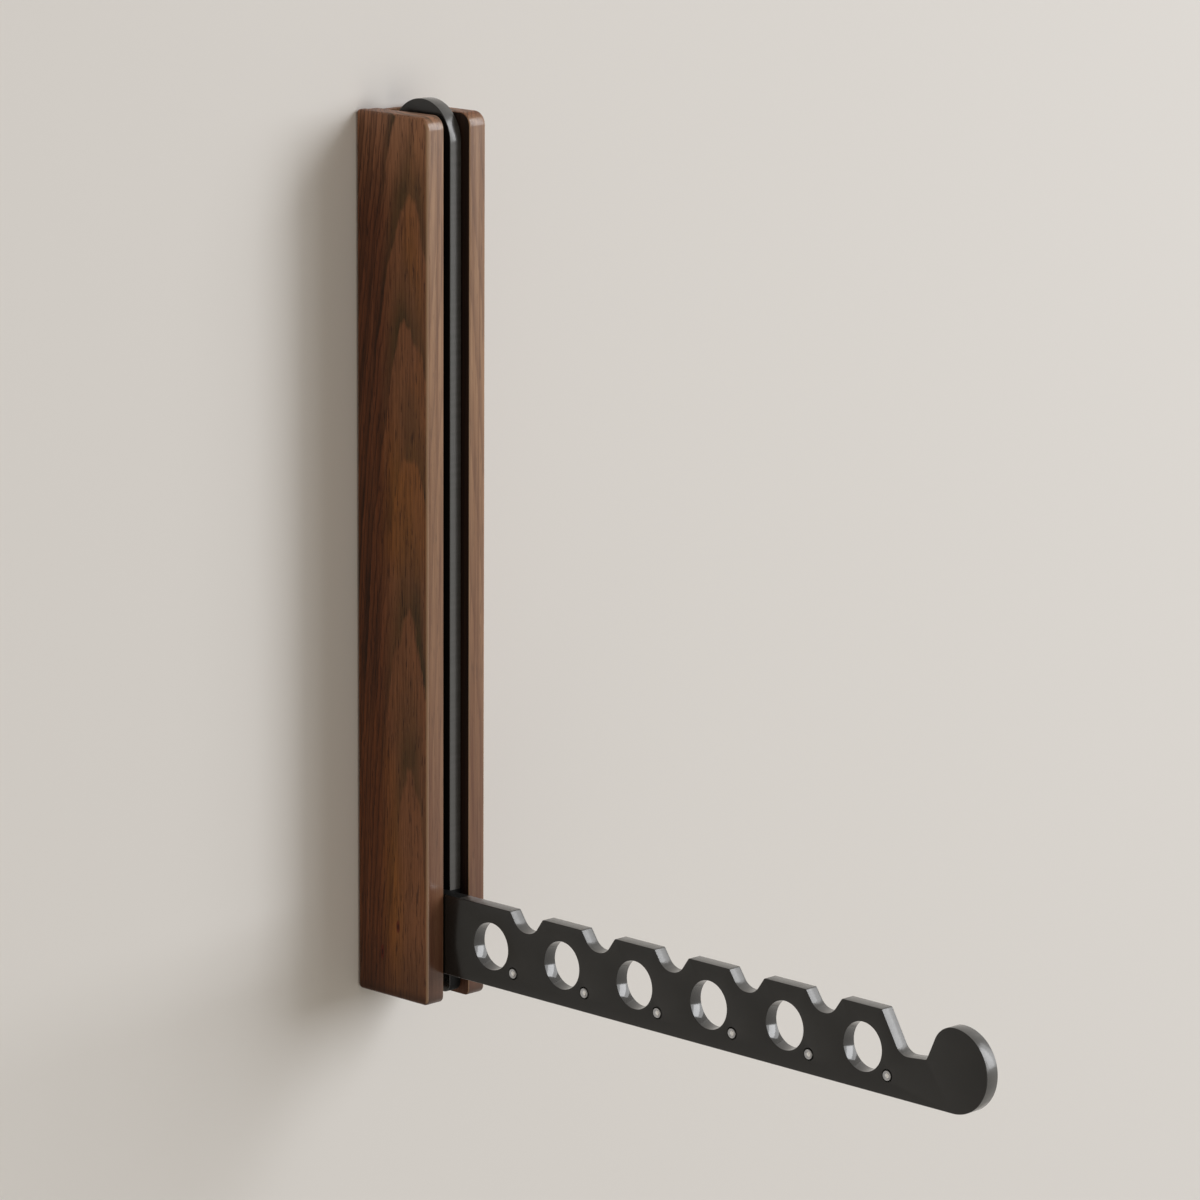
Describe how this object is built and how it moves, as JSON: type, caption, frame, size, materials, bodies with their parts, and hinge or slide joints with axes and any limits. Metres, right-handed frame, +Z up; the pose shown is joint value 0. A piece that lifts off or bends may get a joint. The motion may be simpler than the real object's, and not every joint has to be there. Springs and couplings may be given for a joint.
{
  "type": "wall coat rack",
  "caption": "Slim slotted walnut wall block with flat black steel hanger arms that fold up into the slot, each with round hanger holes, top notches and a rounded end hook.",
  "frame": {"origin": "middle of the flat back face that lies on the wall", "axes": "+Z up, the wall is the plane Y = 0, the rack faces -Y and the arms stand out along -Y, +X is to the right of someone facing the wall"},
  "size_m": [0.0362, 0.3654, 0.4051],
  "materials": {
    "walnut": "satin oiled walnut",
    "walnut_board": "plain sanded walnut",
    "black_steel": "satin black",
    "bright_steel": "polished",
    "zinc_steel": "zinc plated",
    "bush_plastic": "matt",
    "pad_rubber": "matt"
  },
  "bodies": {
    "housing": {"left_cheek": "walnut", "right_cheek": "walnut", "back_board": "walnut_board", "left_board_screw_1": "zinc_steel", "left_board_screw_2": "zinc_steel", "left_board_screw_3": "zinc_steel", "right_board_screw_1": "zinc_steel", "right_board_screw_2": "zinc_steel", "right_board_screw_3": "zinc_steel", "left_bracket_screw": "zinc_steel", "right_bracket_screw": "zinc_steel", "lower_wall_screw_cup": "zinc_steel", "upper_wall_screw_cup": "zinc_steel", "left_stow_pad": "pad_rubber", "right_stow_pad": "pad_rubber", "hinge_bracket": "black_steel", "hinge_pin": "bright_steel", "pin_washer": "zinc_steel", "pin_clip": "zinc_steel"},
    "left_arm": {"left_arm": "black_steel", "left_outer_bush": "bush_plastic", "left_inner_bush": "bush_plastic", "left_arm_stud_1": "bright_steel", "left_arm_stud_2": "bright_steel", "left_arm_stud_3": "bright_steel", "left_arm_stud_4": "bright_steel", "left_arm_stud_5": "bright_steel", "left_arm_stud_6": "bright_steel"},
    "right_arm": {"right_arm": "black_steel", "right_inner_bush": "bush_plastic", "right_outer_bush": "bush_plastic", "right_arm_stud_1": "bright_steel", "right_arm_stud_2": "bright_steel", "right_arm_stud_3": "bright_steel", "right_arm_stud_4": "bright_steel", "right_arm_stud_5": "bright_steel", "right_arm_stud_6": "bright_steel", "right_arm_stud_7": "bright_steel"}
  },
  "joints": [
    {"name": "left_arm_fold", "type": "hinge", "parent": "housing", "child": "left_arm", "pos_m": [0, -0.0293, -0.1754], "axis": [-1, 0, 0], "range_deg": [0, 90]},
    {"name": "right_arm_unfold", "type": "hinge", "parent": "housing", "child": "right_arm", "pos_m": [0, -0.0293, -0.1754], "axis": [1, 0, 0], "range_deg": [0, 90]}
  ]
}
